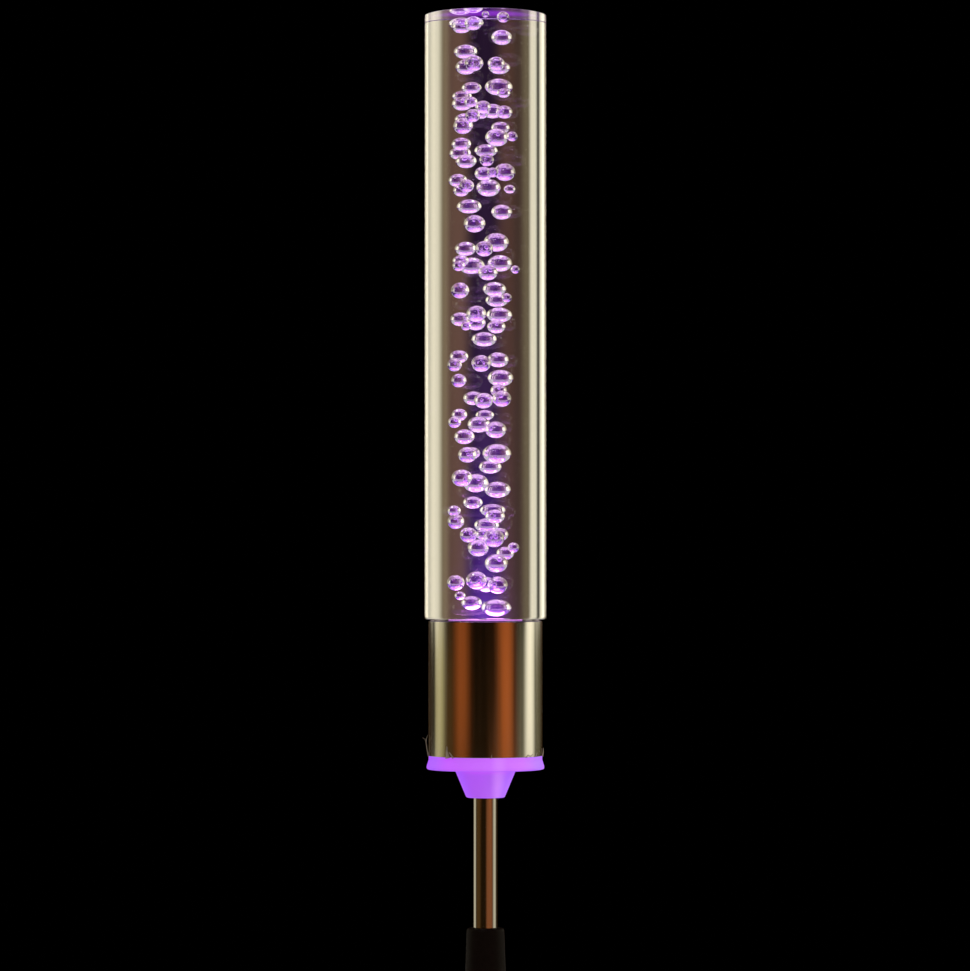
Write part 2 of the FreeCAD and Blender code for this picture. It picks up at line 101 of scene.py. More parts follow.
# Turned shapes
TURN_STEPS = 192
EDGE_SUPPORT = 0.04 * MM        # from a round to the extra ring that keeps the face next to it flat
ON_AXIS = 1e-7                  # a corner nearer than this to the axis is on it
SAME_PLACE = 0.001 * MM         # corners of the solid nearer to each other than this are one
STRING_SHARP_ANGLE = math.radians(80)

# Rod
ACRYLIC_INDEX = 1.49
ROD_FOOT_ROUND = 0.35 * MM
ROD_TOP_ROUND = 0.12 * MM
BOND_CLEARANCE = 0.02 * MM      # so that the bond's foot and the collar's top don't share a plane
BUBBLE_TURN_STEPS = 40
BUBBLE_BANDS = 22

# Collar
COLLAR_RADIUS = 14.0 * MM
COLLAR_WALL = 0.6 * MM
LIGHT_HOLE_RADIUS = 6.2 * MM

# Cap
CAP_BORE_RADIUS = 3.05 * MM
CAP_CONE_FOOT_RADIUS = 4.7 * MM
CAP_CONE_TOP_RADIUS = 7.6 * MM
CAP_CONE_HEIGHT = 6.95 * MM
CAP_FLANGE_RADIUS = 14.0 * MM
CAP_LIP_HEIGHT = 0.75 * MM
CAP_LIP_LEAN = 0.02 * MM
CAP_FLARE_HEIGHT = 2.3 * MM     # where the lip's flare ends, above the flange's foot
CAP_PLUG_RADIUS = 13.3 * MM
CAP_PLUG_HEIGHT = 8.0 * MM
CAP_PLUG_WALL = 1.5 * MM
CAP_FLOOR = 2.0 * MM
CAP_POST_RADIUS = 5.2 * MM
CAP_HIGHLIGHT_ACROSS = 3.3 * MM     # where the painted highlight on the cap's front has its middle

# How strongly each thing throws on the LED's light, which is on in the photograph
DOME_PAINTED_REFLECTION = 0.18                # a painted reflection on a bubble's upper half
END_PAINTED_HIGHLIGHT = 0.22                 # a painted highlight of the side lights at its left and right ends
CRESCENT_PAINTED_REFLECTION = 0.49            # a painted reflection of the foot's light at its foot
CORE_GLOW = 0.135               # and all of its wall
TOP_GLOW = 0.50                 # the middle of the rod's top
TOP_DIM_SHARE = 0.18            # and how much of that is left further out
TOP_BRIGHT_RADIUS = 3 * MM
TOP_DIM_RADIUS = 10 * MM
FAR_HAZE = 0.13                 # the rod's side at its foot, which falls off slowly
FAR_HAZE_REACH = 30 * MM
FOOT_HAZE = 0.10                # and what falls off fast
FOOT_HAZE_REACH = 5 * MM
LEAST_HAZE = 0.014              # and what is left at its top
HAZE_FOCUS = 40.0               # how closely all three keep to the middle of the rod
BOND_GLOW = 1.6
CAP_GLOW = 0.88
WINDOW_GLOW = 4.6


def camera():
    data = bpy.data.cameras.new("camera")
    data.lens = LENS_MM
    data.sensor_width = SENSOR_MM
    data.clip_start = 0.01
    data.clip_end = 20
    eye = bpy.data.objects.new("camera", data)
    eye.location = (CAMERA_ACROSS, -CAMERA_DISTANCE, CAMERA_HEIGHT)
    upward = math.atan((CAMERA_TARGET_HEIGHT - CAMERA_HEIGHT) / CAMERA_DISTANCE)
    eye.rotation_euler = (math.pi / 2 + upward, 0, 0)
    bpy.context.scene.collection.objects.link(eye)
    bpy.context.scene.camera = eye


# Shader nodes

class Shader:
    """A material's or world's node tree, with short ways to add and join nodes."""

    def __init__(self, owner):
        owner.use_nodes = True
        self.tree = owner.node_tree
        self.tree.nodes.clear()

    def node(self, kind, settings=None, **inputs):
        """A node with these settings, and with inputs whose names have _ for a blank."""
        made = self.tree.nodes.new("ShaderNode" + kind)
        for key, value in (settings or {}).items():
            setattr(made, key, value)
        for key, value in inputs.items():
            self.put(made.inputs[key.replace("_", " ")], value)
        return made

    def put(self, socket, value):
        if isinstance(value, bpy.types.NodeSocket):
            self.tree.links.new(value, socket)
        elif isinstance(value, tuple) and len(value) == 3 and socket.type == "RGBA":
            socket.default_value = (*value, 1)
        else:
            socket.default_value = value

    def math(self, operation, first, second=0.0, third=0.0):
        made = self.tree.nodes.new("ShaderNodeMath")
        made.operation = operation
        for socket, value in zip(made.inputs, (first, second, third)):
            self.put(socket, value)
        return made.outputs[0]

    def plus(self, first, second):
        return self.math("ADD", first, second)

    def minus(self, first, second):
        return self.math("SUBTRACT", first, second)

    def times(self, first, second):
        return self.math("MULTIPLY", first, second)

    def squared(self, value):
        return self.times(value, value)

    def vectors(self, operation, first, second=None, scale=None):
        made = self.node("VectorMath", {"operation": operation})
        self.put(made.inputs[0], first)
        if second is not None:
            self.put(made.inputs[1], second)
        if scale is not None:
            self.put(made.inputs["Scale"], scale)
        return made.outputs[0]

    def fade(self, value, start, end, low=0.0, high=1.0, smooth=True):
        """The value's place between start and end, as a number from low to high."""
        made = self.tree.nodes.new("ShaderNodeMapRange")
        made.interpolation_type = "SMOOTHSTEP" if smooth else "LINEAR"
        for socket, number in zip(made.inputs, (value, start, end, low, high)):
            self.put(socket, number)
        return made.outputs[0]

    def decay(self, distance, reach, strength):
        """A strength that falls off with the distance."""
        return self.times(self.math("EXPONENT", self.math("DIVIDE", distance, -reach)), strength)

    def blend(self, share, first, second):
        made = self.tree.nodes.new("ShaderNodeMix")
        made.data_type = "RGBA"
        self.put(made.inputs[0], share)
        self.put(made.inputs[6], first)
        self.put(made.inputs[7], second)
        return made.outputs[2]

    def place(self):
        """The point's three coordinates on the object."""
        return self.node("SeparateXYZ", Vector=self.node("TexCoord").outputs["Object"]).outputs

    def facing(self):
        """0 where the surface faces the ray, and 1 where it turns away from it."""
        return self.node("LayerWeight", Blend=0.5).outputs["Facing"]

    def noise(self, scale, stretch=(1, 1, 1), detail=3.0, roughness=0.55):
        """Noise over the object, its spots drawn out along an axis where the stretch is under 1."""
        place = self.node("TexCoord").outputs["Object"]
        mapping = self.node("Mapping", Vector=place, Scale=stretch)
        made = self.node("TexNoise", Vector=mapping.outputs[0], Scale=scale, Detail=detail,
                         Roughness=roughness)
        return made.outputs[0]

    def bump(self, height, strength, distance):
        return self.node("Bump", Height=height, Strength=strength, Distance=distance).outputs[0]

    def surface(self, **inputs):
        """Ends the material with a principled surface that has these inputs."""
        principled = self.node("BsdfPrincipled", **inputs)
        output = self.node("OutputMaterial")
        self.tree.links.new(principled.outputs[0], output.inputs["Surface"])


def material(name):
    made = bpy.data.materials.new(name)
    return made, Shader(made)


def acrylic():
    """Clear acrylic, whose sides and top let out a little of the light that runs up inside it."""
    made, shader = material("acrylic")
    across, away, up = shader.place()
    up_the_rod = shader.minus(up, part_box("bubble_rod")[0].z)
    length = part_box("bubble_rod")[1].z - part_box("bubble_rod")[0].z

    far_haze = shader.decay(up_the_rod, FAR_HAZE_REACH, FAR_HAZE)
    foot_haze = shader.decay(up_the_rod, FOOT_HAZE_REACH, FOOT_HAZE)
    haze = shader.plus(far_haze, foot_haze)
    middle = shader.math("POWER", shader.minus(1.0, shader.facing()), HAZE_FOCUS)
    side = shader.times(middle, shader.plus(haze, LEAST_HAZE))

    from_axis = shader.math("SQRT", shader.plus(shader.squared(across), shader.squared(away)))
    on_top = shader.fade(up_the_rod, length - 0.25 * MM, length - 0.05 * MM)
    top = shader.times(on_top, shader.fade(from_axis, TOP_BRIGHT_RADIUS, TOP_DIM_RADIUS,
                                           TOP_GLOW, TOP_DIM_SHARE * TOP_GLOW))

    near_foot = shader.fade(haze, 0.0, 0.05, smooth=False)
    light = shader.blend(near_foot, FAR_LIGHT, FOOT_LIGHT)
    waves = shader.noise(90, (1, 1, 0.02))
    shader.surface(
        Base_Color=(0.985, 0.98, 0.975), Transmission_Weight=1.0, IOR=ACRYLIC_INDEX, Roughness=0.0,
        Normal=shader.bump(waves, 0.02, 0.02 * MM),
        Emission_Color=shader.blend(on_top, light, TOP_LIGHT),
        Emission_Strength=shader.plus(side, top),
    )
    return made


def bubble_wall():
    """A bubble's wall. It mirrors and bends what is round it, and has painted reflections of the light
    from the rod's foot: a dome that is brightest at its two ends, where painted highlights stand for the
    side lights, and a narrower crescent below the middle."""
    made, shader = material("bubble_wall")
    # The level goes from -1 at the bubble's foot to 1 at its top, and across from 0 in its middle to 1
    # at its left and right ends, as the ray sees it
    level = shader.node("Attribute", {"attribute_name": "level"}).outputs["Fac"]
    from_middle = shader.minus(1.0, shader.squared(shader.minus(1.0, shader.facing())))
    across = shader.math("MAXIMUM", shader.minus(from_middle, shader.squared(level)), 0.0)

    # Painted reflections: the dome and the crescent below it, with painted highlights at the dome's two
    # ends
    lift = shader.squared(shader.math("DIVIDE", shader.plus(level, 0.05), 0.45))
    dome = shader.fade(shader.plus(shader.math("DIVIDE", across, 0.45), lift), 0.8, 1.8)
    dome = shader.times(dome, shader.fade(level, -0.30, -0.04))
    ends = shader.fade(across, 0.30, 0.78)
    crescent = shader.times(shader.fade(level, -0.60, -0.42, 1.0, 0.0),
                            shader.fade(across, 0.22, 0.46, 1.0, 0.0))
    crescent = shader.times(crescent, shader.fade(level, -1.0, -0.82, 0.35, 1.0))

    light = shader.blend(dome, PLUM, shader.blend(ends, ROSE, CREAM))
    painted_dome_and_ends = shader.times(dome, shader.fade(ends, 0.0, 1.0, DOME_PAINTED_REFLECTION, END_PAINTED_HIGHLIGHT))
    painted_reflections = shader.plus(painted_dome_and_ends, shader.times(crescent, CRESCENT_PAINTED_REFLECTION))
    spots = shader.fade(shader.noise(1300), 0.32, 0.68, 0.45, 1.25)
    strength = shader.times(spots, shader.plus(painted_reflections, CORE_GLOW))
    on_back = shader.node("NewGeometry").outputs["Backfacing"]
    shader.surface(
        # The purple tint of the base colour is painted light, which turns what the wall bends plum
        Base_Color=(0.74, 0.56, 0.90), Transmission_Weight=1.0, IOR=ACRYLIC_INDEX, Roughness=0.0,
        Emission_Color=shader.blend(crescent, light, LILAC),
        Emission_Strength=shader.times(strength, on_back),
    )
    return made


def bond_face():
    """The bonded foot of the rod, which sends the window's light straight up and little to the sides."""
    made, shader = material("bond_face")
    beam = shader.math("POWER", shader.minus(1.0, shader.facing()), 1.5)
    shader.surface(
        Base_Color=(0.3, 0.28, 0.3), Roughness=0.3,
        Emission_Color=BOND_LIGHT, Emission_Strength=shader.times(beam, BOND_GLOW),
    )
    return made


def steel(name, roughness, streaks, anisotropy):
    """Stainless steel with fine lines along the axis."""
    made, shader = material(name)
    lines = shader.noise(700, (1, 1, 0.012), detail=4)
    clouds = shader.noise(60, (1, 1, 0.3))
    streaked = shader.math("MULTIPLY_ADD", clouds, 0.3, lines)
    shader.surface(
        Base_Color=shader.blend(shader.fade(lines, 0.3, 0.7), STEEL_DARK, STEEL_PALE),
        Metallic=1.0,
        Roughness=shader.fade(streaked, 0.4, 1.0, roughness * (1 - streaks), roughness * (1 + streaks)),
        Anisotropic=anisotropy,
        Tangent=shader.node("Tangent", {"direction_type": "RADIAL", "axis": "Z"}).outputs[0],
        Normal=shader.bump(lines, 0.15, 0.01 * MM),
    )
    return made


def plain(name, colour, roughness, scale=400, variation=0.12, metallic=0.0, bump=0.1, specular=0.5):
    """A solid material whose colour and gloss vary a little."""
    made, shader = material(name)
    spots = shader.noise(scale)
    darker = tuple(value * (1 - variation) for value in colour)
    lighter = tuple(min(1.0, value * (1 + variation)) for value in colour)
    shader.surface(
        Base_Color=shader.blend(shader.fade(spots, 0.3, 0.7), darker, lighter),
        Metallic=metallic,
        Roughness=shader.fade(spots, 0.3, 0.7, roughness * (1 - variation), roughness * (1 + variation)),
        Specular_IOR_Level=specular,
        Normal=shader.bump(spots, bump, 0.02 * MM),
    )
    return made


def cap_plastic():
    """Milky plastic with the light behind it: bluer where it turns away and on the cone, and with a
    painted highlight, lighter in colour, to the right of its front."""
    made, shader = material("cap_plastic")
    across, away, up = shader.place()
    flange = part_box("base_cap")[0].z + CAP_CONE_HEIGHT
    on_flange = shader.fade(up, flange - 1.5 * MM, flange)
    turned = shader.fade(shader.facing(), 0.2, 0.6)
    # A painted highlight: a lighter colour on the cap's front, a little right of its middle
    from_highlight = shader.math("ABSOLUTE", shader.minus(across, CAP_HIGHLIGHT_ACROSS))
    in_front = shader.fade(away, -1 * MM, 0.0, 1.0, 0.0)
    highlight_mask = shader.times(shader.fade(from_highlight, 0.2 * MM, 2.4 * MM, 1.0, 0.0), in_front)
    light = shader.blend(on_flange, CONE_LIGHT, FLANGE_LIGHT)
    highlight_colour = shader.blend(on_flange, CONE_PAINTED_HIGHLIGHT, FLANGE_PAINTED_HIGHLIGHT)
    clouds = shader.fade(shader.noise(90, (1, 1, 1.6)), 0.25, 0.75, 0.93, 1.07)
    shader.surface(
        Base_Color=(0.24, 0.24, 0.24), Roughness=0.38, Specular_IOR_Level=0.07,
        Emission_Color=shader.blend(turned, shader.blend(highlight_mask, light, highlight_colour), CAP_SIDE_LIGHT),
        Emission_Strength=shader.times(clouds, CAP_GLOW),
    )
    return made


def window_plastic():
    """The diffusing window, bright at its top, where it meets the bond."""
    made, shader = material("window_plastic")
    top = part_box("light_window")[1].z
    upper = shader.fade(shader.place()[2], top - 0.24 * MM, top - 0.14 * MM, 0.02, WINDOW_GLOW)
    clouds = shader.fade(shader.noise(300), 0.25, 0.75, 0.9, 1.1)
    shader.surface(
        Base_Color=(0.5, 0.42, 0.56), Roughness=0.35,
        Emission_Color=WINDOW_LIGHT, Emission_Strength=shader.times(upper, clouds),
    )
    return made


def clear_plastic(name, colour, index, roughness):
    made, shader = material(name)
    spots = shader.noise(300)
    shader.surface(
        Base_Color=colour, Transmission_Weight=1.0, IOR=index,
        Roughness=shader.fade(spots, 0.3, 0.7, roughness * 0.5, roughness),
    )
    return made


# The world: black to the camera, and to everything else a dark room with soft cards round the light

class Card:
    """A tall soft light. Its angle, half width and soft edge are in degrees, the angle from the
    photograph's side and positive to the right. Lowest and highest are the upward parts of the
    directions that it fills."""

    def __init__(self, angle, half_width, soft, colour, strength, lowest=-0.5, highest=0.6):
        self.angle = float(angle)
        self.half_width = half_width
        self.soft = soft
        self.light = tuple(value * strength for value in colour)
        self.lowest = lowest
        self.highest = highest


# A direction's upward part decides which cards it meets: the rod's above the first of these, the
# collar's above the second, and the pole's below that. What is seen through the acrylic meets the rod's
# cards further down as well, and nothing below the third.
COLLAR_BELOW = -0.0127
POLE_BELOW = -0.051
ACRYLIC_BELOW = -0.24
ACRYLIC_EDGE = 0.02
CARD_EDGE = 0.0006

CARDS = [
    Card(103, 12, 4, CREAM, 1.6, lowest=COLLAR_BELOW),
    Card(128, 16, 5, CREAM, 0.75, lowest=COLLAR_BELOW),
    Card(148, 5, 4, OLIVE, 0.11, lowest=COLLAR_BELOW),
    Card(-107, 14, 5, CREAM, 0.8, lowest=COLLAR_BELOW),
    Card(-119, 9, 3, CREAM, 0.9, lowest=COLLAR_BELOW),
    Card(-140, 5, 3, CREAM, 0.72, lowest=COLLAR_BELOW),
    Card(-149, 4, 5, OLIVE, 0.10, lowest=COLLAR_BELOW),
    Card(-50, 14, 9, AMBER, 0.30, lowest=COLLAR_BELOW),
    Card(40, 15, 9, AMBER, 0.42, lowest=COLLAR_BELOW),
    Card(158, 11, 6, UMBER, 0.115, lowest=COLLAR_BELOW),
    Card(-158, 14, 6, UMBER, 0.060, lowest=COLLAR_BELOW),

    Card(102, 13, 8, CREAM, 1.45, POLE_BELOW, COLLAR_BELOW),
    Card(-107, 14, 9, STRAW, 0.60, POLE_BELOW, COLLAR_BELOW),
    Card(-49, 14, 11, AMBER, 0.37, POLE_BELOW, COLLAR_BELOW),
    Card(43, 13, 9, AMBER, 0.55, POLE_BELOW, COLLAR_BELOW),
    Card(80, 11, 8, OLIVE, 0.12, POLE_BELOW, COLLAR_BELOW),
    Card(-80, 12, 8, BROWN, 0.07, POLE_BELOW, COLLAR_BELOW),
    Card(130, 16, 8, OLIVE, 0.14, POLE_BELOW, COLLAR_BELOW),
    Card(0, 90, 20, BROWN, 0.014, POLE_BELOW, COLLAR_BELOW),
    Card(180, 50, 20, BROWN, 0.03, POLE_BELOW, COLLAR_BELOW),

    Card(97, 18, 13, CREAM, 0.62, highest=POLE_BELOW),
    Card(-123, 19, 8, CREAM, 0.62, highest=POLE_BELOW),
    Card(-72, 24, 14, BROWN, 0.07, highest=POLE_BELOW),
    Card(40, 30, 14, RUST, 0.26, highest=POLE_BELOW),
    Card(0, 175, 4, BROWN, 0.018, highest=POLE_BELOW),
]

# An even light for what isn't shiny, and how much stronger it gets towards the right
AMBIENT = 0.20
AMBIENT_RIGHT = 1.35


def world():
    made = bpy.data.worlds.new("studio")
    bpy.context.scene.world = made
    shader = Shader(made)
    direction = shader.node("SeparateXYZ", Vector=shader.node("TexCoord").outputs["Generated"])
    across, away, up = direction.outputs
    angle = shader.times(shader.math("ARCTAN2", across, shader.times(away, -1.0)), 180 / math.pi)
    ray = shader.node("LightPath").outputs

    # What comes through the acrylic is raised to the rod's cards, down to its lowest direction
    from_outside = shader.fade(ray["Transmission Depth"], 0.4, 0.6, 1.0, 0.0)
    above_lowest = shader.fade(up, ACRYLIC_BELOW - ACRYLIC_EDGE, ACRYLIC_BELOW + ACRYLIC_EDGE)
    shown = shader.math("MAXIMUM", from_outside, above_lowest)
    rise = shader.minus(shader.math("MAXIMUM", up, COLLAR_BELOW + 2 * CARD_EDGE), up)
    through = shader.times(shader.minus(1.0, from_outside), above_lowest)
    up = shader.math("MULTIPLY_ADD", rise, through, up)

    total = (0.0, 0.0, 0.0)
    for card in CARDS:
        turn = shader.math("WRAP", shader.minus(angle, card.angle), 180.0, -180.0)
        offset = shader.math("ABSOLUTE", turn)
        share = shader.fade(offset, card.half_width - card.soft, card.half_width + card.soft, 1.0, 0.0)
        above = shader.fade(up, card.lowest - CARD_EDGE, card.lowest + CARD_EDGE)
        below = shader.fade(up, card.highest - CARD_EDGE, card.highest + CARD_EDGE, 1.0, 0.0)
        share = shader.times(shader.times(share, above), below)
        total = shader.vectors("ADD", total, shader.vectors("SCALE", card.light, scale=share))
    total = shader.vectors("SCALE", total, scale=shown)

    even = shader.plus(AMBIENT, shader.times(shader.math("MAXIMUM", across, 0.0), AMBIENT_RIGHT))
    even = shader.vectors("SCALE", (1.0, 1.0, 1.0), scale=shader.times(even, ray["Is Diffuse Ray"]))
    background = shader.node("Background", Color=shader.vectors("ADD", total, even),
                             Strength=shader.minus(1.0, ray["Is Camera Ray"]))
    output = shader.node("OutputWorld")
    shader.tree.links.new(background.outputs[0], output.inputs["Surface"])


# Floor and lamp

def floor(level):
    made, shader = material("floor")
    shader.surface(Base_Color=shader.blend(shader.noise(4), FLOOR_DARK, FLOOR_PALE), Roughness=0.7)
    mesh = bpy.data.meshes.new("floor")
    shape = bmesh.new()
    bmesh.ops.create_circle(shape, cap_ends=True, radius=FLOOR_RADIUS, segments=FLOOR_STEPS)
    shape.to_mesh(mesh)
    shape.free()
    mesh.materials.append(made)
    disc = bpy.data.objects.new("floor", mesh)
    disc.location = (0, 0, level)
    bpy.context.scene.collection.objects.link(disc)


def lamp(name, place, target, size, energy, colour):
    data = bpy.data.lights.new(name, "AREA")
    data.size = size
    data.energy = energy
    data.color = colour
    made = bpy.data.objects.new(name, data)
    made.location = place
    made.rotation_euler = (Vector(place) - Vector(target)).to_track_quat("Z", "Y").to_euler()
    made.visible_camera = False
    bpy.context.scene.collection.objects.link(made)


# Turned pieces

def rounded(profile, steps=5, support=0.0):
    """The (radius, height) outline with its corners rounded, where a corner gives a third value. The
    support is how far from each round an extra point lies, to keep the shading of long faces flat."""
    points = []
    for number, corner in enumerate(profile):
        here = Vector(corner[:2])
        size = corner[2] if len(corner) == 3 else 0
        if not size:
            points.append(here)
            continue
        before = (Vector(profile[number - 1][:2]) - here).normalized()
        after = (Vector(profile[(number + 1) % len(profile)][:2]) - here).normalized()
        half = before.angle(after) / 2
        reach = size / math.tan(half)
        middle = here + (before + after).normalized() * size / math.sin(half)
        start = here + before * reach - middle
        end = here + after * reach - middle
        sweep = start.angle(end)
        if support:
            points.append(middle + start + before * support)
        for step in range(steps + 1):
            share = step / steps
            weight_a = math.sin((1 - share) * sweep) / math.sin(sweep)
            weight_b = math.sin(share * sweep) / math.sin(sweep)
            points.append(middle + start * weight_a + end * weight_b)
        if support:
            points.append(middle + end + after * support)
    return points


class Shape:
    """The corners and faces of a mesh that is turned about upright axes."""

    def __init__(self):
        self.corners = []
        self.faces = []
        self.slots = []
        self.levels = []

    def turn(self, outline, closed=False, steps=TURN_STEPS, centre=(0, 0, 0), inward=False, slots=(0,),
             ball=0):
        """Adds the (radius, height) outline turned about the upright axis through the centre. An open
        outline starts and ends on the axis. The slots are the bands' material slots, the last one also
        for all bands after it. For a ball of that radius, corners get their level, from -1 to 1."""
        rings = []
        for radius, height in outline:
            count = 1 if radius < ON_AXIS else steps
            first = len(self.corners)
            rings.append([first + step for step in range(count)])
            for step in range(count):
                turn = math.tau * step / steps
                self.corners.append((centre[0] + radius * math.cos(turn),
                                     centre[1] + radius * math.sin(turn), centre[2] + height))
                self.levels.append(height / ball if ball else 0.0)
        following_rings = rings[1:] + (rings[:1] if closed else [])
        for band, (lower, upper) in enumerate(zip(rings, following_rings)):
            for step in range(steps):
                following = (step + 1) % steps
                face = [lower[step % len(lower)], lower[following % len(lower)],
                        upper[following % len(upper)], upper[step % len(upper)]]
                face = list(dict.fromkeys(face))
                self.faces.append(face[::-1] if inward else face)
                self.slots.append(slots[min(band, len(slots) - 1)])

    def finished(self, name, materials, sharp_angle=math.radians(35)):
        mesh = bpy.data.meshes.new(name)
        mesh.from_pydata(self.corners, [], self.faces)
        mesh.polygons.foreach_set("material_index", self.slots)
        if any(self.levels):
            level = mesh.attributes.new("level", "FLOAT", "POINT")
            level.data.foreach_set("value", self.levels)
        mesh.shade_smooth()
        mesh.set_sharp_from_angle(angle=sharp_angle)
        for one in materials:
            mesh.materials.append(one)
        made = bpy.data.objects.new(name, mesh)
        bpy.context.scene.collection.objects.link(made)
        return made


def bubbles_of(node):
    """Centre and radius of each bubble, which are the loose parts of the node's mesh but its outside."""
    shape = bmesh.new()
    shape.from_mesh(node.data)
    bmesh.ops.remove_doubles(shape, verts=shape.verts, dist=SAME_PLACE)
    seen = set()
    parts = []
    for start in shape.verts:
        if start in seen:
            continue
        seen.add(start)
        part = []
        waiting = [start]
        while waiting:
            vertex = waiting.pop()
            part.append(vertex.co.copy())
            for edge in vertex.link_edges:
                other = edge.other_vert(vertex)
                if other not in seen:
                    seen.add(other)
                    waiting.append(other)
        parts.append(part)
    shape.free()
    parts.remove(max(parts, key=len))
    found = []
    for part in parts:
        top = max(part, key=lambda corner: corner.z)
        bottom = min(part, key=lambda corner: corner.z)
        found.append(((top + bottom) / 2, (top.z - bottom.z) / 2))
    return found


def rod(clear, wall, bond, bond_side):
    """The rod, the clear bond under it and the bubbles, as one piece of acrylic."""
    CLEAR, WALL, BOND, BOND_SIDE = range(4)
    low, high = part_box("bubble_rod")
    bond_low, bond_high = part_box("bond_ring")
    radius = high.x
    foot = bond_low.z + BOND_CLEARANCE
    shape = Shape()
    outline = rounded([
        (0, foot), (bond_high.x, foot), (bond_high.x, low.z),
        (radius, low.z, ROD_FOOT_ROUND), (radius, high.z, ROD_TOP_ROUND), (0, high.z),
    ], support=EDGE_SUPPORT)
    shape.turn([tuple(point) for point in outline], slots=(BOND, BOND_SIDE, CLEAR))
    bands = [math.pi * band / BUBBLE_BANDS for band in range(BUBBLE_BANDS + 1)]
    for centre, size in bubbles_of(nodes["bubble_rod"]):
        arc = [(size * math.sin(band), -size * math.cos(band)) for band in bands]
        shape.turn(arc, steps=BUBBLE_TURN_STEPS, centre=centre, inward=True, slots=(WALL,), ball=size)
    made = shape.finished("bubble_rod_clear", [clear, wall, bond, bond_side])
    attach(made, LIGHT)
    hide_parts("bubble_rod", "bond_ring")


def cap(plastic):
    """The glowing cap, with the soft edges of a moulding and a lip that flares out gently."""
    low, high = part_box("base_cap")
    foot = low.z
    rim = high.x
    flange = foot + CAP_CONE_HEIGHT
    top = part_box("collar")[0].z
    shape = Shape()
    plug_top = top + CAP_PLUG_HEIGHT
    plug_inner = CAP_PLUG_RADIUS - CAP_PLUG_WALL
    inside = flange + CAP_FLOOR
    outline = rounded([
        (CAP_BORE_RADIUS, foot, 0.15 * MM), (CAP_CONE_FOOT_RADIUS, foot, 0.5 * MM),
        (CAP_CONE_TOP_RADIUS, flange, 0.35 * MM), (rim, flange, 0.45 * MM),
        (rim - CAP_LIP_LEAN, flange + CAP_LIP_HEIGHT, 0.5 * MM),
        (CAP_FLANGE_RADIUS, flange + CAP_FLARE_HEIGHT, 1.2 * MM), (CAP_FLANGE_RADIUS, top, 0.1 * MM),
        (CAP_PLUG_RADIUS, top), (CAP_PLUG_RADIUS, plug_top, 0.3 * MM), (plug_inner, plug_top, 0.3 * MM),
        (plug_inner, inside, 0.5 * MM), (CAP_POST_RADIUS, inside, 0.5 * MM),
        (CAP_POST_RADIUS, high.z), (CAP_BORE_RADIUS, high.z),
    ])
    shape.turn([tuple(point) for point in outline], closed=True)
    made = shape.finished("base_cap_moulded", [plastic])
    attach(made, LIGHT)
    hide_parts("base_cap")


def collar(steel_finish):
    """The drawn steel cup with the small rounds of its edges."""
    low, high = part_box("collar")
    radius = high.x
    shape = Shape()
    inner = radius - COLLAR_WALL
    under_plate = high.z - COLLAR_WALL
    outline = rounded([
        (inner, low.z), (radius, low.z, 0.08 * MM), (radius, high.z, 0.14 * MM),
        (LIGHT_HOLE_RADIUS, high.z, 0.1 * MM), (LIGHT_HOLE_RADIUS, under_plate, 0.1 * MM),
        (inner, under_plate, 0.3 * MM),
    ], support=EDGE_SUPPORT)
    shape.turn([tuple(point) for point in outline], closed=True)
    made = shape.finished("collar_drawn", [steel_finish])
    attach(made, LIGHT)
    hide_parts("collar")


# The strings and the film of squeezed-out adhesive, in mm. Each has its points from the rim on, half its
# width at the first point and at the last, and its thickness as a share of its width. A point has its
# place across, its height above the collar's foot and its place back, or lies on the collar's front.
ADHESIVE = [
    ([(-13.95, -0.2, -1.2), (-14.35, 1.5, -1.2), (-14.55, 3.0, -1.1), (-14.75, 4.0, -1.0),
      (-15.5, 4.5, -0.9)], 0.15, 0.05, 1.0),
    ([(-14.6, 3.4, -1.1), (-14.5, 4.3, -1.2), (-14.2, 5.1, -1.2)], 0.10, 0.04, 1.0),
    ([(-8.9, -0.1), (-9.0, 0.6), (-9.3, 1.4), (-9.4, 2.7)], 0.95, 0.08, 0.09),
    ([(-7.9, -0.1), (-8.4, 0.7), (-8.9, 1.3)], 0.20, 0.08, 1.0),
    ([(1.3, -0.1), (1.5, 0.4), (1.5, 0.9)], 0.12, 0.04, 1.0),
    ([(9.9, 0.0), (10.5, 0.6), (11.0, 0.2), (11.6, 0.7)], 0.13, 0.06, 1.0),
    ([(12.1, 0.0), (12.5, 0.5), (12.6, 1.0)], 0.10, 0.05, 1.0),
    ([(14.0, -0.1, -0.8), (14.2, 0.8, -0.8), (14.25, 1.9, -0.7)], 0.17, 0.08, 1.0),
]
ADHESIVE_OFF_COLLAR = 0.05
STRING_SIDES = 8


def adhesive_point(base, across, height, back=None):
    if back is None:
        back = -math.sqrt((COLLAR_RADIUS / MM + ADHESIVE_OFF_COLLAR) ** 2 - across ** 2)
    return Vector((across, back, base + height)) * MM


def strand(shape, points, start_width, end_width, thickness):
    """Adds a thin string along the points, whose width goes from the first value to the second."""
    rings = []
    for number, point in enumerate(points):
        before = points[max(number - 1, 0)]
        after = points[min(number + 1, len(points) - 1)]
        along = (after - before).normalized()
        side = along.cross(Vector((0, 1, 0))).normalized()
        other = along.cross(side)
        width = (start_width + (end_width - start_width) * number / (len(points) - 1)) * MM
        ring = []
        for step in range(STRING_SIDES):
            turn = math.tau * step / STRING_SIDES
            ring.append(len(shape.corners))
            around = side * math.cos(turn) + other * math.sin(turn) * thickness
            shape.corners.append(tuple(point + around * width))
            shape.levels.append(0.0)
        rings.append(ring)
    for lower, upper in zip(rings, rings[1:]):
        for step in range(STRING_SIDES):
            following = (step + 1) % STRING_SIDES
            shape.faces.append([lower[step], lower[following], upper[following], upper[step]])
            shape.slots.append(0)
    for ring in (rings[0][::-1], rings[-1]):
        shape.faces.append(ring)
        shape.slots.append(0)


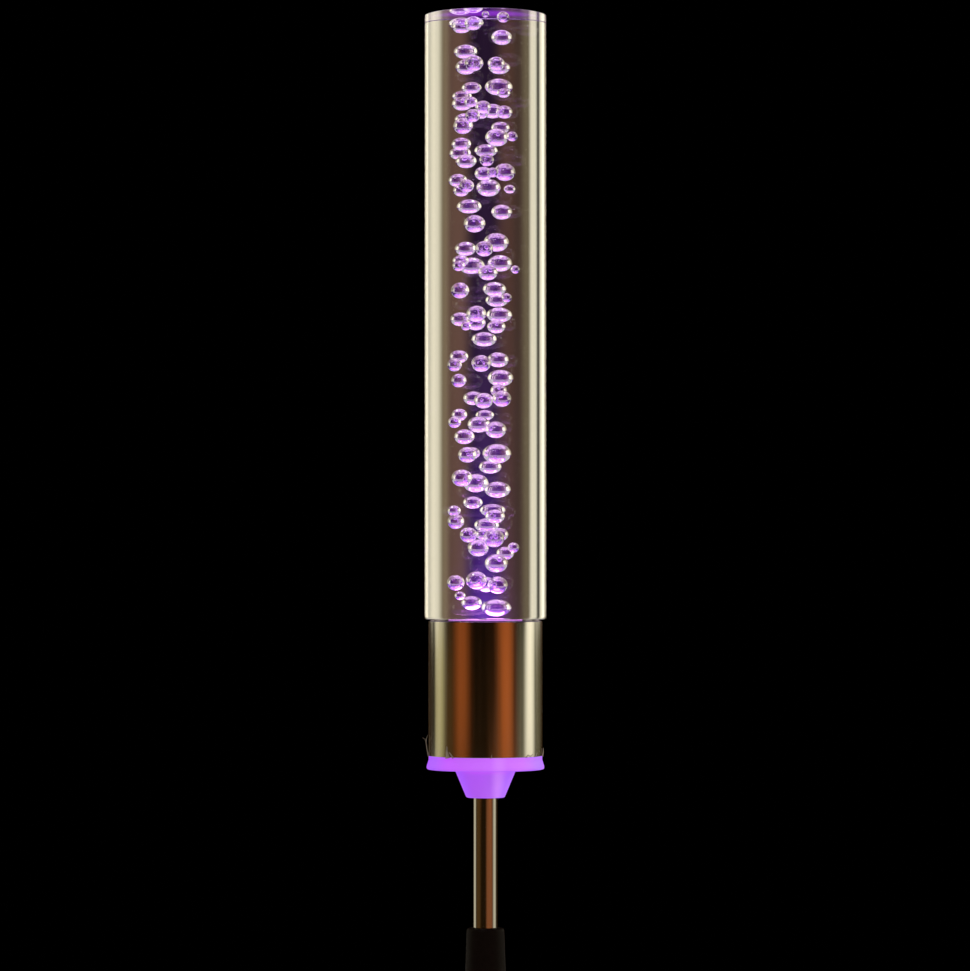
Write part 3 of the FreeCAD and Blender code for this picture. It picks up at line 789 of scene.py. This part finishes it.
def glue_strings(glue):
    """What was squeezed out between the collar and the cap's rim and pulled into strings."""
    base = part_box("collar")[0].z / MM
    shape = Shape()
    for points, start_width, end_width, thickness in ADHESIVE:
        points = [adhesive_point(base, *point) for point in points]
        strand(shape, points, start_width, end_width, thickness)
    made = shape.finished("glue_strings", [glue], STRING_SHARP_ANGLE)
    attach(made, LIGHT)


camera()
world()
floor(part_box("ground_spike")[0].z)
lamp("overhead", place=(-0.5, -0.8, 1.5), target=(0, 0, 0.1), size=0.7, energy=6, colour=(1, 0.97, 0.93))

# The bond's side is tinted dark: painted shade for the thin dark line between the rod and the collar
bond_side = clear_plastic("bond_side", (0.22, 0.18, 0.24), ACRYLIC_INDEX, 0.02)
rod(acrylic(), bubble_wall(), bond_face(), bond_side)
cap(cap_plastic())
collar(steel("collar_steel", roughness=0.14, streaks=0.3, anisotropy=0.8))
glue_strings(plain("squeezed_glue", (0.25, 0.21, 0.16), 0.4, variation=0.25, specular=0.3))

FINISHES = {
    "ground_spike": plain("spike_plastic", (0.0045, 0.0022, 0.0012), 0.5, scale=900, specular=0.04),
    "cable_grommet": plain("grommet_rubber", (0.02, 0.02, 0.02), 0.6),
    "pole": steel("pole_steel", roughness=0.07, streaks=0.3, anisotropy=0.5),
    "cap_adhesive": clear_plastic("clear_adhesive", (0.9, 0.86, 0.92), 1.45, 0.2),
    "light_window": window_plastic(),
    "reflector_tube": plain("reflector_plastic", (0.85, 0.85, 0.85), 0.4),
    "led_board": plain("board", (0.78, 0.78, 0.74), 0.45),
    "led_lens": clear_plastic("led_epoxy", (0.95, 0.92, 0.97), 1.5, 0.05),
    "led_leads": plain("tinned_metal", (0.72, 0.72, 0.72), 0.3, metallic=1.0),
    "solder_joints": plain("solder", (0.68, 0.68, 0.69), 0.35, metallic=1.0),
    "resistor": plain("chip_ceramic", (0.04, 0.04, 0.045), 0.35),
    "wire_red": plain("wire_red", (0.5, 0.03, 0.03), 0.4),
    "wire_black": plain("wire_black", (0.02, 0.02, 0.02), 0.4),
    "wire_splice": plain("shrink_sleeve", (0.025, 0.025, 0.03), 0.5),
}
for name, finish in FINISHES.items():
    slots = nodes[name].data.materials
    slots.clear()
    slots.append(finish)

bpy.context.scene.view_settings.view_transform = "Standard"
